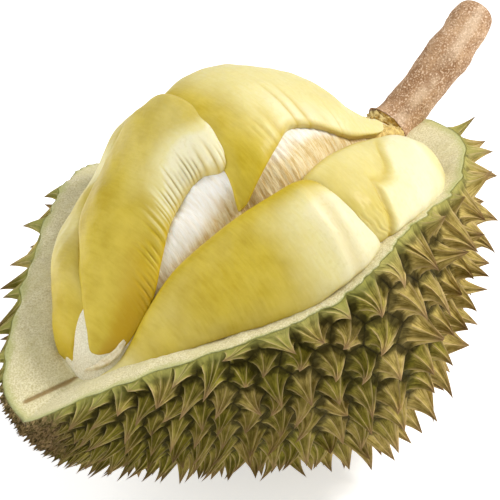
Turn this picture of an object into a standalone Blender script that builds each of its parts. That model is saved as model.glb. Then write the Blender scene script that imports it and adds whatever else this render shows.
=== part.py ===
"""A durian lying on its side, with two neighbouring sections of its rind pulled away.

The fruit is built in its own frame, long axis along X with the stalk at +X, and then parented to an empty
that tips it into the attitude in which it rests. A place on the fruit is given by two numbers: `c`, which
runs from 1 at the blossom end to -1 at the stalk end, and `psi`, the angle around the axis in degrees,
0 at the front (-Y) and 90 on top.
"""
import math

import bmesh
import bpy
import numpy as np
from mathutils import Vector
from mathutils.geometry import delaunay_2d_cdt

# Rind: an egg with its ends leaning off its middle, a little broader at the stalk end.
HALF_LENGTH = 0.128
RADIUS = 0.112
END_SHARPNESS = 0.75        # power of the sine that draws the ends in
MIDDLE_PACE = 0.57          # below 1, the places are closer together at the middle of the fruit
STALK_BULGE = 0.13
END_FALL = 0.30
LEAN_FRONT = 0.0044         # how far both ends stand off the axis, to the front
LEAN_DOWN = 0.0052
TILT = 12.9                 # degrees that the stalk end is raised

# Chamber inside the rind.
RIND_THICKNESS = 0.022
BLOSSOM_BLOCK = 0.034       # solid rind beyond the chamber at the blossom end
STALK_BLOCK = 0.024
CHAMBER_SHARPNESS = 0.64
SEAT_GAP = 0.0022           # between the chamber's faceted wall and what lies in it
GAP = 0.0005                # between pieces that touch

# Opening: the rind runs from the back rim, under the fruit, to the front rim.
FRONT_RIM = (24.3, -9.1, -4.1, 24.4)    # degrees, powers 0 to 3 of c
BACK_RIM = (182.6, -17.0)

# Thorns.
THORN_SPACING_BLOSSOM = 0.0085
THORN_SPACING_STALK = 0.0184
SPACING_REACH = 1.1         # length of c over which the spacing grows
SPACING_POWER = 0.75
ROW_PITCH = 0.87            # rows are closer together than the thorns in a row
ROW_SHIFT = 0.25            # of a thorn's width, one way and the other in turn
SHIFT_SCATTER = 0.13
ROW_SCATTER = 0.12
TIP_REACH = 0.22            # length of c over which the thorns grow from the blossom end
RIM_MARGIN = 1.0            # degrees that a tip keeps from a rim
THORN_TIP = 0.0100          # above the mean surface
THORN_TIP_BLOSSOM = 0.0030
THORN_VALLEY = 0.0045       # below the mean surface
THORN_LEAN = 0.0030         # tips lean towards the blossom end
BLOSSOM_RING = 0.055        # sine of the ring where the thorns stop at each end
STALK_RING = 0.150
SEED = 40
FLOOR_TRIM = 0.0088         # taken off the lowest tips, so that the fruit sits on flats
MERGE = 0.00005             # points closer than this are one

# Stalk.
STALK_RADIUS = 0.0097
STALK_LENGTH = 0.068
STALK_ANGLE = 43.0          # degrees above the floor
STALK_FOOT = 0.022          # how far its foot runs into the fruit
STALK_SHIFT = (-0.0065, 0.0058, 0.0)    # its foot from the fruit's end
STALK_BLUNTNESS = 14        # higher makes its ends flatter
KNUCKLES = ((0.34, 0.06, 0.18), (0.72, 0.07, 0.10))     # place along it, half length, swelling
STALK_RINGS = 20
STALK_SIDES = 14

# Flesh segments: stations of place along the axis in mm, psi, half width, half thickness and lift above the
# chamber's wall in mm. The skew is how far each end leans along the axis, in mm for a degree of psi.
ARILS = {
    "aril_front_left": {
        "stations": ((-89, 33, 5, 7, 0), (-77, 32, 12, 14, 2), (-60, 33, 18, 21, 4), (-43, 34, 24, 26, 6),
                     (-26, 35, 28, 30, 7), (-8, 35, 28, 30, 7), (14, 33, 25, 26, 6)),
        "skew": (0.0, -0.55)},
    "aril_front_right": {
        "stations": ((6, 35, 25, 26, 5), (22, 35, 28, 30, 6), (41, 34, 28, 30, 6), (61, 31, 27, 26, 5),
                     (82, 27, 23, 20, 3), (99, 20, 15, 12, 1)),
        "skew": (-0.55, 0.0)},
    "aril_back_left": {
        "stations": ((-89, 62, 8, 8, 0), (-79, 70, 20, 17, 1), (-63, 86, 32, 23, 1), (-46, 96, 37, 27, 2),
                     (-30, 89, 33, 29, 2), (-12, 86, 30, 28, 2), (-2, 84, 26, 24, 1)),
        "skew": (0.0, 0.1)},
    "aril_back_right": {
        "stations": ((-14, 78, 24, 26, 1), (4, 80, 30, 30, 4), (22, 81, 29, 30, 5), (38, 79, 27, 27, 5),
                     (53, 71, 24, 20, 2), (65, 60, 14, 12, 0), (75, 57, 7, 6, 0)),
        "skew": (0.1, 0.0)},
    "aril_side": {
        "stations": ((-92, 150, 5, 5, 2), (-82, 132, 14, 12, 6), (-64, 140, 20, 18, 6), (-44, 146, 22, 20, 3),
                     (-20, 148, 26, 24, -6), (6, 146, 28, 26, -10), (28, 142, 26, 22, -11),
                     (46, 138, 16, 16, -12)),
        "skew": (0.0, 0.0)},
}
ARIL_RINGS = 18
ARIL_SIDES = 16
ARIL_BLUNTNESS = 5.0        # higher makes the ends rounder
ARIL_BOXINESS = 0.85        # power of the sine and cosine of its section
ARIL_CROWN = 0.28           # share of the thickness above its widest line
ARIL_ROOT = 0.95            # and below it
ROOM_RINGS = 30             # of the cutter that keeps the segments clear of the rind
ROOM_SIDES = 28
ROOM_END = 0.99
RIM_GAP = 0.6               # degrees between the rim's cut face and a segment

# Pith.
PITH_DEPTH = 0.018          # below the chamber wall where the rind is open
SEPTUM_ANGLE = 58.0
SEPTUM_HEIGHT = 0.012
SEPTUM_WIDTH = 10.0         # degrees
SEPTUM_END = 0.20           # length of c over which it dies out at each end
RIM_BLEND = 9.0
PITH_RINGS = 26
PITH_SIDES = 36

COLOURS = {
    "husk": (0.235, 0.205, 0.070),
    "stalk": (0.350, 0.185, 0.090),
    "core": (0.800, 0.740, 0.620),
    "aril": (0.800, 0.640, 0.160),
}
ROUGHNESS = {"husk": 0.65, "stalk": 0.75, "core": 0.80, "aril": 0.42}


def place(c, half_length):
    return -half_length * c * (MIDDLE_PACE + (1 - MIDDLE_PACE) * c * c)


def egg(c, psi, half_length, radius, sharpness):
    """Point on an egg of the fruit's shape, in the fruit's own frame."""
    c, psi = np.broadcast_arrays(np.asarray(c, float), np.radians(np.asarray(psi, float)))
    sine = np.sqrt(np.clip(1 - c * c, 0, 1))
    r = radius * sine ** sharpness * (1 - STALK_BULGE * c - END_FALL * c * c)
    y = -r * np.cos(psi) - LEAN_FRONT * c * c
    z = r * np.sin(psi) - LEAN_DOWN * c * c
    return np.stack([place(c, half_length), y, z], -1)


def rind(c, psi, lift=0.0):
    """Point on the rind's mean surface, raised by lift."""
    return egg(c, psi, HALF_LENGTH + lift, RADIUS + lift, END_SHARPNESS)


def chamber(c, psi, depth=0.0):
    """Point on the chamber's wall, or depth towards the axis from it, away from it if negative."""
    c = np.asarray(c, float)
    half_length = HALF_LENGTH - np.where(c > 0, BLOSSOM_BLOCK, STALK_BLOCK)
    wall = egg(c, psi, half_length, RADIUS - RIND_THICKNESS, CHAMBER_SHARPNESS)
    axis = egg(c, psi, half_length, 0.0, CHAMBER_SHARPNESS)
    room = np.maximum(np.linalg.norm(wall - axis, axis=-1), 1e-6)
    share = np.clip(np.asarray(depth) / room, -0.5, 0.85)
    return wall + (axis - wall) * share[..., None]


def chamber_c(x):
    """The number c of a place x along the chamber."""
    line = np.linspace(-1, 1, 2001)
    half_length = HALF_LENGTH - np.where(line > 0, BLOSSOM_BLOCK, STALK_BLOCK)
    return np.interp(x, place(line, half_length)[::-1], line[::-1])


def rim(powers, c):
    return sum(k * np.asarray(c, float) ** n for n, k in enumerate(powers))


def material(name, kind):
    mat = bpy.data.materials.new(name)
    mat.use_nodes = True
    shader = mat.node_tree.nodes["Principled BSDF"]
    shader.inputs["Base Color"].default_value = (*COLOURS[kind], 1.0)
    shader.inputs["Roughness"].default_value = ROUGHNESS[kind]
    shader.inputs["Metallic"].default_value = 0.0
    return mat


def add_object(name, points, faces, kind, parent):
    mesh = bpy.data.meshes.new(name)
    mesh.from_pydata([tuple(p) for p in points], [], faces)
    bm = bmesh.new()
    bm.from_mesh(mesh)
    bmesh.ops.remove_doubles(bm, verts=bm.verts, dist=MERGE)
    bmesh.ops.dissolve_degenerate(bm, edges=bm.edges, dist=MERGE)
    bmesh.ops.triangulate(bm, faces=bm.faces)
    bmesh.ops.recalc_face_normals(bm, faces=bm.faces)
    if bm.calc_volume(signed=True) < 0:
        bmesh.ops.reverse_faces(bm, faces=bm.faces)
    bm.to_mesh(mesh)
    bm.free()
    obj = bpy.data.objects.new(name, mesh)
    bpy.context.scene.collection.objects.link(obj)
    obj.parent = parent
    mesh.materials.append(material(name, kind))
    return obj


def cut(obj, cutter):
    boolean = obj.modifiers.new("clear_" + cutter.name, "BOOLEAN")
    boolean.operation = "DIFFERENCE"
    boolean.solver = "EXACT"
    boolean.object = cutter


def meridian():
    """Arc length along the rind from end to end, as two arrays: c and the length."""
    c = np.cos(np.linspace(0.0, math.pi, 2001))
    line = rind(c, 270.0)
    steps = np.linalg.norm(np.diff(line[:, [0, 2]], axis=0), axis=1)
    return c, np.concatenate([[0.0], np.cumsum(steps)])


def radius_at(c):
    return np.linalg.norm(rind(c, 0.0) - rind(c, 180.0), axis=-1) / 2


def thorn_spacing(c):
    """Spacing grows from the blossom end towards the stalk end."""
    along = np.clip((1 - np.asarray(c)) / SPACING_REACH, 0, 1) ** SPACING_POWER
    return THORN_SPACING_BLOSSOM + (THORN_SPACING_STALK - THORN_SPACING_BLOSSOM) * along


def thorn_sites(rng):
    """Rows of thorns, as c, psi and a flag: 0 thorn, 1 ghost past a rim, 2 ghost past an end."""
    c_line, length = meridian()
    pitch = ROW_PITCH * thorn_spacing(c_line)
    rows = np.concatenate([[0.0], np.cumsum(np.diff(length) / (0.5 * (pitch[1:] + pitch[:-1])))])
    first = np.interp(-math.sqrt(1 - BLOSSOM_RING ** 2), -c_line, rows)
    last = np.interp(math.sqrt(1 - STALK_RING ** 2), -c_line, rows)
    count = int(round(last - first))
    sites = []
    for row in range(-1, count + 1):
        level = first + (row + 0.5) * (last - first) / count
        c = float(np.interp(level, rows, c_line))
        low = rim(BACK_RIM, c)
        high = rim(FRONT_RIM, c) + 360.0
        arc = math.radians(high - low) * float(radius_at(c))
        columns = max(3, int(round(arc / float(thorn_spacing(c)))))
        step = (high - low) / columns
        shift = ROW_SHIFT if row % 2 else -ROW_SHIFT
        scatter = rng.uniform(-SHIFT_SCATTER, SHIFT_SCATTER, columns)
        psi = low + (np.arange(columns) + 0.5 + shift + scatter) * step
        at_end = row in (-1, count)
        for k in range(columns):
            drift = rng.uniform(-ROW_SCATTER, ROW_SCATTER)
            c_here = float(np.interp(level + (0.0 if at_end else drift), rows, c_line))
            sites.append((c_here, psi[k], 2 if at_end else 0))
        sites.append((c, 2 * low - psi[0], 2 if at_end else 1))
        sites.append((c, 2 * high - psi[-1], 2 if at_end else 1))
    return np.array(sites)


def husk_mesh():
    """Skin of pointed cells, the same cells on the chamber's wall, and rim faces between the two."""
    rng = np.random.default_rng(SEED)
    sites = thorn_sites(rng)
    c_line, length = meridian()
    radii = np.maximum(radius_at(c_line), 1e-4)
    chart = np.concatenate([[0.0], np.cumsum(np.diff(length) / (0.5 * (radii[1:] + radii[:-1])))])
    flat = np.stack([np.interp(-sites[:, 0], -c_line, chart), np.radians(sites[:, 1])], 1)
    _, _, triangles, *_ = delaunay_2d_cdt([Vector(p) for p in flat], [], [], 0, 1e-7)
    cells = {}
    corners = []
    for triangle in triangles:
        kinds = sites[list(triangle), 2]
        if (kinds > 0).all():
            continue
        c, psi = sites[list(triangle), :2].mean(0)
        if (kinds == 2).any():
            ring = math.sqrt(1 - (BLOSSOM_RING if c > 0 else STALK_RING) ** 2)
            c = math.copysign(ring, c)
        low = float(rim(BACK_RIM, c))
        high = float(rim(FRONT_RIM, c)) + 360.0
        edge = (kinds == 1).any()
        if (kinds == 2).any():
            step = (high - low) / 8
            edge = edge or min(psi - low, high - psi) < 0.3 * step
        if edge:
            psi = low if psi - low < high - psi else high
        for site in triangle:
            if sites[site, 2] == 0:
                cells.setdefault(site, []).append(len(corners))
        corners.append((c, psi))
    corners = np.array(corners)
    apexes = sorted(cells)
    tops = sites[apexes]
    low = rim(BACK_RIM, tops[:, 0])
    high = rim(FRONT_RIM, tops[:, 0]) + 360.0
    psi = np.clip(tops[:, 1], low + RIM_MARGIN, high - RIM_MARGIN)
    grow = np.clip((1 - tops[:, 0]) / TIP_REACH, 0, 1)
    tip = THORN_TIP_BLOSSOM + (THORN_TIP - THORN_TIP_BLOSSOM) * grow
    lean = THORN_LEAN * grow / HALF_LENGTH
    lifted = rind(np.clip(tops[:, 0] + lean, -1, 1), psi)
    outward = rind(tops[:, 0], psi, 0.01) - rind(tops[:, 0], psi)
    outward /= np.linalg.norm(outward, axis=1)[:, None]
    spikes = lifted + outward * tip[:, None]
    skin = rind(corners[:, 0], corners[:, 1], -THORN_VALLEY)
    lining = chamber(corners[:, 0], corners[:, 1])
    lining_middles = chamber(tops[:, 0], psi)
    poles = np.array([rind(1.0, 0.0, -0.001), chamber(1.0, 0.0)])
    points = np.concatenate([skin, spikes, lining, lining_middles, poles])
    spike0 = len(corners)
    lining0 = spike0 + len(apexes)
    middle0 = lining0 + len(corners)
    pole0 = middle0 + len(apexes)
    outer = []
    inner = []
    for k, site in enumerate(apexes):
        ring = cells[site]
        centre = flat[site]
        spots = np.stack([np.interp(-corners[ring, 0], -c_line, chart), np.radians(corners[ring, 1])], 1)
        away = spots - centre
        order = np.argsort(np.arctan2(away[:, 1], away[:, 0]))
        ring = [ring[i] for i in order]
        for a, b in zip(ring, ring[1:] + ring[:1]):
            outer.append((spike0 + k, a, b))
            inner.append((middle0 + k, lining0 + b, lining0 + a))
    return points, outer, inner, (lining0, pole0, corners)


def build_husk(parent):
    points, outer, inner, (lining0, pole0, corners) = husk_mesh()
    rounded = {}
    same = list(range(len(points)))
    for k, (c, psi) in enumerate(corners):
        same[k] = rounded.setdefault((round(c, 5), round(psi, 3)), k)
        same[lining0 + k] = lining0 + same[k]
    faces = []
    for face in outer + inner:
        face = tuple(same[k] for k in face)
        if len(set(face)) == 3:
            faces.append(face)
    edges = {(f[i], f[(i + 1) % 3]) for f in faces for i in range(3)}
    border = [(a, b) for a, b in edges if (b, a) not in edges and max(a, b) < lining0]
    ring_c = math.sqrt(1 - BLOSSOM_RING ** 2)
    at_ring = set(np.flatnonzero(np.isclose(corners[:, 0], ring_c)))
    for a, b in border:
        if a in at_ring and b in at_ring:
            faces.append((pole0, b, a))
            faces.append((pole0 + 1, lining0 + a, lining0 + b))
        else:
            faces.append((b, a, lining0 + a, lining0 + b))
    for psi_end in (float(rim(BACK_RIM, ring_c)), float(rim(FRONT_RIM, ring_c)) + 360.0):
        k = min(at_ring & {a for a, b in edges}, key=lambda n: abs(corners[n, 1] - psi_end))
        faces.append((pole0, k, lining0 + k, pole0 + 1))
    return add_object("husk", points, faces, "husk", parent)


def catmull(values, u):
    """Smooth curve through rows of values, at fractions u of its length."""
    values = np.asarray(values, float)
    padded = np.vstack([2 * values[0] - values[1], values, 2 * values[-1] - values[-2]])
    along = np.clip(u, 0, 1) * (len(values) - 1)
    k = np.minimum(along.astype(int), len(values) - 2)
    t = (along - k)[:, None]
    p0, p1, p2, p3 = (padded[k + n] for n in range(4))
    return 0.5 * (2 * p1 + (p2 - p0) * t + (2 * p0 - 5 * p1 + 4 * p2 - p3) * t ** 2
                  + (3 * p1 - p0 - 3 * p2 + p3) * t ** 3)


def close_rings(rings):
    """Mesh through rings of points, each end closed by a point."""
    count, sides = rings.shape[:2]
    body = rings[1:-1].reshape(-1, 3)
    points = np.concatenate([body, rings[:1].mean(1), rings[-1:].mean(1)])
    faces = []
    for i in range(count - 3):
        for j in range(sides):
            a = i * sides + j
            b = i * sides + (j + 1) % sides
            faces.append((a, b, b + sides, a + sides))
    last = (count - 3) * sides
    for j in range(sides):
        k = (j + 1) % sides
        faces.append((len(body), k, j))
        faces.append((len(body) + 1, last + j, last + k))
    return points, faces


def aril_mesh(stations, skew):
    """Loft along the chamber: each section is a boxy oval bent to the chamber's wall."""
    u = 0.5 - 0.5 * np.cos(np.linspace(0, math.pi, ARIL_RINGS))
    x, psi, wide, thick, lift = catmull(stations, u)[:, :, None].transpose(1, 0, 2)
    blunt = np.sqrt(np.clip(1 - np.abs(2 * u - 1) ** ARIL_BLUNTNESS, 0, 1))[:, None]
    turn = np.linspace(0, 2 * math.pi, ARIL_SIDES, endpoint=False)
    across = np.sign(np.cos(turn)) * np.abs(np.cos(turn)) ** ARIL_BOXINESS
    rise = np.sign(np.sin(turn)) * np.abs(np.sin(turn)) ** ARIL_BOXINESS
    c = chamber_c(0.001 * x)
    girth = np.linalg.norm((chamber(c, psi) - chamber(c, psi + 180)), axis=-1) / 2
    swing = np.degrees(0.001 * wide * blunt * across / girth)
    lean = np.where(u[:, None] < 0.5, skew[0], skew[1]) * np.abs(2 * u[:, None] - 1)
    c = chamber_c(0.001 * (x + lean * swing))
    share = np.where(rise > 0, ARIL_CROWN, ARIL_ROOT)
    depth = SEAT_GAP - 0.001 * lift + 0.001 * thick * (ARIL_CROWN - share * rise * blunt)
    rings = chamber(c, psi + swing, depth)
    return close_rings(rings)


def add_room(obj):
    """Cutter that clears a gap around a piece: its copy, swollen along the normals."""
    mesh = obj.data.copy()
    bm = bmesh.new()
    bm.from_mesh(mesh)
    bm.normal_update()
    for vert in bm.verts:
        vert.co += vert.normal * GAP
    bm.to_mesh(mesh)
    bm.free()
    room = bpy.data.objects.new("room_" + obj.name, mesh)
    bpy.context.scene.collection.objects.link(room)
    room.parent = obj.parent
    room.hide_render = True
    room.display_type = "WIRE"
    return room


def build_rind_room(parent):
    """Cutter with the rind's shape, without its thorns: crescents from blossom to stalk, closed at both ends."""
    c = np.cos(np.linspace(math.acos(ROOM_END), math.acos(-ROOM_END), ROOM_RINGS))[:, None]
    turn = np.linspace(0, 1, ROOM_SIDES)[None, :]
    low = rim(BACK_RIM, c) - RIM_GAP
    high = rim(FRONT_RIM, c) + 360.0 + RIM_GAP
    psi = low + (high - low) * turn
    rings = np.concatenate([rind(c, psi), chamber(c, psi, SEAT_GAP)[:, ::-1]], axis=1)
    sides = 2 * ROOM_SIDES
    faces = []
    for i in range(ROOM_RINGS - 1):
        for j in range(sides):
            a = i * sides + j
            b = i * sides + (j + 1) % sides
            faces.append((a, b, b + sides, a + sides))
    last = (ROOM_RINGS - 1) * sides
    for j in range(ROOM_SIDES - 1):
        faces.append((j, sides - 1 - j, sides - 2 - j, j + 1))
        faces.append((last + j, last + j + 1, last + sides - 2 - j, last + sides - 1 - j))
    room = add_object("room_rind", rings.reshape(-1, 3), faces, "husk", parent)
    room.hide_render = True
    room.display_type = "WIRE"
    return room


def build_arils(parent, outer_rooms):
    """Each segment is pressed in by the rind, the stalk and those made before it."""
    rooms = []
    for name, sizes in ARILS.items():
        aril = add_object(name, *aril_mesh(**sizes), "aril", parent)
        for room in outer_rooms + rooms:
            cut(aril, room)
        rooms.append(add_room(aril))
    return rooms


def build_core(parent, rooms):
    """Fills the chamber under the segments, sunk where the rind is open, with the septum standing up."""
    first = math.acos(chamber_c(BLOSSOM_BLOCK + SEAT_GAP - HALF_LENGTH))
    last = math.acos(chamber_c(HALF_LENGTH - STALK_BLOCK - SEAT_GAP))
    c = np.cos(np.linspace(first, last, PITH_RINGS))[:, None]
    psi = np.linspace(0, 360, PITH_SIDES, endpoint=False)[None, :]
    inside = np.clip(np.minimum(psi - rim(FRONT_RIM, c), rim(BACK_RIM, c) - psi) / RIM_BLEND, 0, 1)
    septum = np.exp(-((psi - SEPTUM_ANGLE) / SEPTUM_WIDTH) ** 2)
    septum = septum * np.clip((1 - np.abs(c)) / SEPTUM_END, 0, 1)
    depth = SEAT_GAP + inside * (PITH_DEPTH - SEPTUM_HEIGHT * septum)
    core = add_object("core", *close_rings(chamber(c, psi, depth)), "core", parent)
    for room in rooms:
        cut(core, room)


def stalk_mesh():
    """Foot along the fruit's axis, then the stem, bent upwards, with a knuckle and a rounded end."""
    foot = egg(-1.0, 0.0, HALF_LENGTH, 0.0, 1.0) + STALK_SHIFT
    lean = math.radians(STALK_ANGLE - TILT)
    rise = np.array([math.cos(lean), 0.0, math.sin(lean)])
    inside = np.array([1.0, 0.0, 0.0])
    knots = [foot - inside * STALK_FOOT, foot - inside * STALK_FOOT * 0.5, foot,
             foot + 0.35 * STALK_LENGTH * rise, foot + 0.7 * STALK_LENGTH * rise,
             foot + STALK_LENGTH * rise]
    u = 0.5 - 0.5 * np.cos(np.linspace(0, math.pi, STALK_RINGS))
    spine = catmull(knots, u)
    along = np.gradient(spine, axis=0)
    along /= np.linalg.norm(along, axis=1)[:, None]
    side = np.array([0.0, 1.0, 0.0])
    up = np.cross(along, side)
    ends = np.sqrt(np.clip(1 - np.abs(2 * u - 1) ** STALK_BLUNTNESS, 0, 1))
    swelling = sum(size * np.exp(-((u - at) / half) ** 2) for at, half, size in KNUCKLES)
    radius = (STALK_RADIUS * (1 + swelling) * ends)[:, None, None]
    turn = np.linspace(0, 2 * math.pi, STALK_SIDES, endpoint=False)[None, :, None]
    return close_rings(spine[:, None] + radius * (side * np.cos(turn) + up[:, None] * np.sin(turn)))


def build_floor_cutter(height):
    """Block under the fruit that leaves flats on the lowest thorns."""
    bm = bmesh.new()
    bmesh.ops.create_cube(bm, size=1.0)
    bmesh.ops.translate(bm, vec=(0.0, 0.0, height - 0.5), verts=bm.verts)
    mesh = bpy.data.meshes.new("floor_block")
    bm.to_mesh(mesh)
    bm.free()
    obj = bpy.data.objects.new("floor_block", mesh)
    bpy.context.scene.collection.objects.link(obj)
    obj.hide_render = True
    obj.display_type = "WIRE"
    return obj


def main():
    for obj in list(bpy.data.objects):
        bpy.data.objects.remove(obj, do_unlink=True)
    fruit = bpy.data.objects.new("durian", None)
    bpy.context.scene.collection.objects.link(fruit)
    fruit.rotation_euler = (0.0, -math.radians(TILT), 0.0)
    husk = build_husk(fruit)
    stalk = add_object("stalk", *stalk_mesh(), "stalk", fruit)
    stalk_room = add_room(stalk)
    rooms = build_arils(fruit, [build_rind_room(fruit), stalk_room])
    build_core(fruit, rooms + [stalk_room])
    spin = np.array(fruit.rotation_euler.to_matrix())
    outside = np.concatenate([np.array([v.co for v in o.data.vertices]) for o in (husk, stalk)]) @ spin.T
    low = outside.min(0)
    high = outside.max(0)
    fruit.location = (-0.5 * (low[0] + high[0]), -0.5 * (low[1] + high[1]), -low[2] - FLOOR_TRIM)
    cut(husk, build_floor_cutter(0.0))
    bpy.context.view_layer.update()


main()
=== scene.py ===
import math

import bmesh
import bpy
import numpy as np
from mathutils import Matrix, Vector
from mathutils.geometry import delaunay_2d_cdt


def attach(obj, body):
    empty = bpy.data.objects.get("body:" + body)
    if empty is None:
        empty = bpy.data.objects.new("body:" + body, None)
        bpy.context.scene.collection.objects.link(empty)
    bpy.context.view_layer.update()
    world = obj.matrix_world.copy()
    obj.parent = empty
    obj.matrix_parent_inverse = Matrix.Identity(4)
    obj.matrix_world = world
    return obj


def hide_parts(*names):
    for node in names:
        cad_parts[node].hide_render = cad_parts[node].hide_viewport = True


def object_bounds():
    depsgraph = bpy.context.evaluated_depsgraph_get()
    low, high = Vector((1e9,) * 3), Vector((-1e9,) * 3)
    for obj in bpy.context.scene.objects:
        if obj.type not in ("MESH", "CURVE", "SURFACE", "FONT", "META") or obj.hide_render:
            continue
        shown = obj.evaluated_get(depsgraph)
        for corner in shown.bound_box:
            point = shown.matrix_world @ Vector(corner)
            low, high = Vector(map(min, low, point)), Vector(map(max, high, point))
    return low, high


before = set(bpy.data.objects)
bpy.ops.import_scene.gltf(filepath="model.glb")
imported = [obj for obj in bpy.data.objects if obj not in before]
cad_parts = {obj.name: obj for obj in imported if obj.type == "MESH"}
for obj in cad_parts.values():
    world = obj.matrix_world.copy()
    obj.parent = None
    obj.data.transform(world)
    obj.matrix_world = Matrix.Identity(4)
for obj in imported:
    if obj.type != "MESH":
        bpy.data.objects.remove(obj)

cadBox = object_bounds()


# A place on the fruit is a pair: c runs from 1 at the blossom end to -1 at the stalk, and psi is degrees
# round the axis, 0 in front, 90 on top, 180 behind. Lengths are metres unless a note says otherwise.

fruit = {
    "halfLength": 0.128, "radius": 0.112,  # of the rind without its thorns
    "endPower": 0.75,  # less is blunter
    "middlePace": 0.57,  # how fast places pass at the middle
    "stalkBulge": 0.13, "endFall": 0.3,
    "leanFront": 0.0044, "leanDown": 0.0052,  # how far the ends lean off the axis
    "rindThickness": 0.022,  # from the rind's surface to the hollow
    "blossomBlock": 0.034, "stalkBlock": 0.024,  # solid ends
    "chamberPower": 0.64,
    "innermost": 0.85, "outermost": 0.6,  # most lift, as shares of the hollow's radius
    "frontRim": (24.3, -9.1, -4.1, 24.4),  # inner edge of the front cut: degrees, powers of c
    "frontEdge": (23.0, -9.1, -2.9, 24.4),  # outer edge of the front cut
    "backRim": (182.6, -17.0),  # both edges of the back cut
    "openSide": (-0.41, -0.62, 0.67),  # where the opened side faces
    "tilt": 12.9, "middle": (-0.023, 0.0003, 0.1093),  # degrees the axis rises, and where its middle is
    "tableSteps": 2001,
}
backCut, frontCut = 1, 2


def place(c, halfLength):
    # - halfLength c (pace + (1 - pace) c^2)
    return -halfLength * c * (fruit["middlePace"] + (1 - fruit["middlePace"]) * c * c)


def egg(c, psi, halfLength, radius, power):
    # a circle of radius (1 - c^2)^(power / 2), less bulge times c and fall times c^2, round a bent axis
    c, psi = np.broadcast_arrays(np.asarray(c, float), np.radians(np.asarray(psi, float)))
    sine = np.sqrt(np.clip(1 - c * c, 0, 1))
    r = radius * sine ** power * (1 - fruit["stalkBulge"] * c - fruit["endFall"] * c * c)
    y = -r * np.cos(psi) - fruit["leanFront"] * c * c
    z = r * np.sin(psi) - fruit["leanDown"] * c * c
    return np.stack([place(c, halfLength), y, z], -1)


def rind(c, psi, lift=0.0):
    # the rind's surface, grown by lift
    return egg(c, psi, fruit["halfLength"] + lift, fruit["radius"] + lift, fruit["endPower"])


def chamberHalf(c):
    return fruit["halfLength"] - np.where(c > 0, fruit["blossomBlock"], fruit["stalkBlock"])


def chamber(c, psi, lift=0.0):
    # the hollow's wall, each point moved by lift along its line from the axis
    c = np.asarray(c, float)
    wall = egg(c, psi, chamberHalf(c), fruit["radius"] - fruit["rindThickness"], fruit["chamberPower"])
    axis = egg(c, psi, chamberHalf(c), 0.0, 1.0)
    room = np.maximum(np.linalg.norm(wall - axis, axis=-1), 1e-6)
    share = np.clip(np.asarray(lift) / room, -fruit["innermost"], fruit["outermost"])
    return wall + (wall - axis) * share[..., None]


def chamberPlace(x):
    # the c at a place x along the hollow
    line = np.linspace(-1, 1, fruit["tableSteps"])
    return np.interp(x, place(line, chamberHalf(line))[::-1], line[::-1])


def rimAngle(powers, c):
    # sum of powers[n] times c^n, in degrees
    return sum(k * np.asarray(c, float) ** n for n, k in enumerate(powers))


def cutAngle(which, c):
    # the rind's edge at a cut; the rind runs from the back cut, under the fruit, to the front cut
    if which == backCut:
        return rimAngle(fruit["backRim"], c)
    return rimAngle(fruit["frontEdge"], c) + 360.0


def tiltMatrix():
    a = math.radians(fruit["tilt"])
    return np.array([[math.cos(a), 0, -math.sin(a)], [0, 1, 0], [math.sin(a), 0, math.cos(a)]])


def toWorld(points):
    return np.asarray(points) @ tiltMatrix().T + np.array(fruit["middle"])


def toFruit(points):
    return (points - np.array(fruit["middle"])) @ tiltMatrix()


# small tools

def smooth(value, start, end):
    # 3 t^2 - 2 t^3, where t is the share of the way from start to end
    t = np.clip((np.asarray(value, float) - start) / (end - start), 0, 1)
    return t * t * (3 - 2 * t)


def bell(value, middle, width):
    # e to the minus ((value - middle) / width)^2
    return np.exp(-((value - middle) / width) ** 2)


def lengths(vectors):
    return np.linalg.norm(vectors, axis=-1)


def unit(vectors, least=0.0):
    return vectors / np.maximum(lengths(vectors), least)[..., None]


def ripple(points, wavelength, seed, waves=9):
    # sum of sine waves in random directions, 0.7 to 1.5 wavelengths long, over the root of their number
    rng = np.random.default_rng(seed)
    points = np.asarray(points, float)
    total = np.zeros(points.shape[:-1])
    for _ in range(waves):
        direction = rng.normal(size=points.shape[-1])
        direction /= np.linalg.norm(direction)
        pace = 2 * math.pi / (wavelength * rng.uniform(0.7, 1.5))
        total += np.sin(points @ direction * pace + rng.uniform(0, 6.28))
    return total / math.sqrt(waves)


def catmull(values, u):
    # Catmull-Rom curve through rows of values, at shares u of the way
    values = np.asarray(values, float)
    padded = np.vstack([2 * values[0] - values[1], values, 2 * values[-1] - values[-2]])
    along = np.clip(u, 0, 1) * (len(values) - 1)
    k = np.minimum(along.astype(int), len(values) - 2)
    t = (along - k)[:, None]
    p0, p1, p2, p3 = (padded[k + n] for n in range(4))
    return 0.5 * (2 * p1 + (p2 - p0) * t + (2 * p0 - 5 * p1 + 4 * p2 - p3) * t ** 2
                  + (3 * p1 - p0 - 3 * p2 + p3) * t ** 3)


def eased(count):
    # shares from 0 to 1 that lie closer at both ends: (1 - cos) / 2
    return 0.5 - 0.5 * np.cos(np.linspace(0, math.pi, count))


def fullTurn(count):
    return np.linspace(0, 2 * math.pi, count, endpoint=False)[None, :]


def gridFaces(rows, columns):
    # quads between rows of points, joined round the columns
    i, j = np.meshgrid(np.arange(rows - 1), np.arange(columns), indexing="ij")
    k = (j + 1) % columns
    quads = [i * columns + j, i * columns + k, (i + 1) * columns + k, (i + 1) * columns + j]
    return np.stack(quads, -1).reshape(-1, 4)


def between(a, b):
    # quads between two lines of points
    return np.stack([a[..., :-1], a[..., 1:], b[..., 1:], b[..., :-1]], -1).reshape(-1, 4)


def fan(a, b, c):
    # triangles with a corner in each of three arrays, or one corner that all share
    return np.stack(np.broadcast_arrays(a, b, c), -1).reshape(-1, 3)


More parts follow.
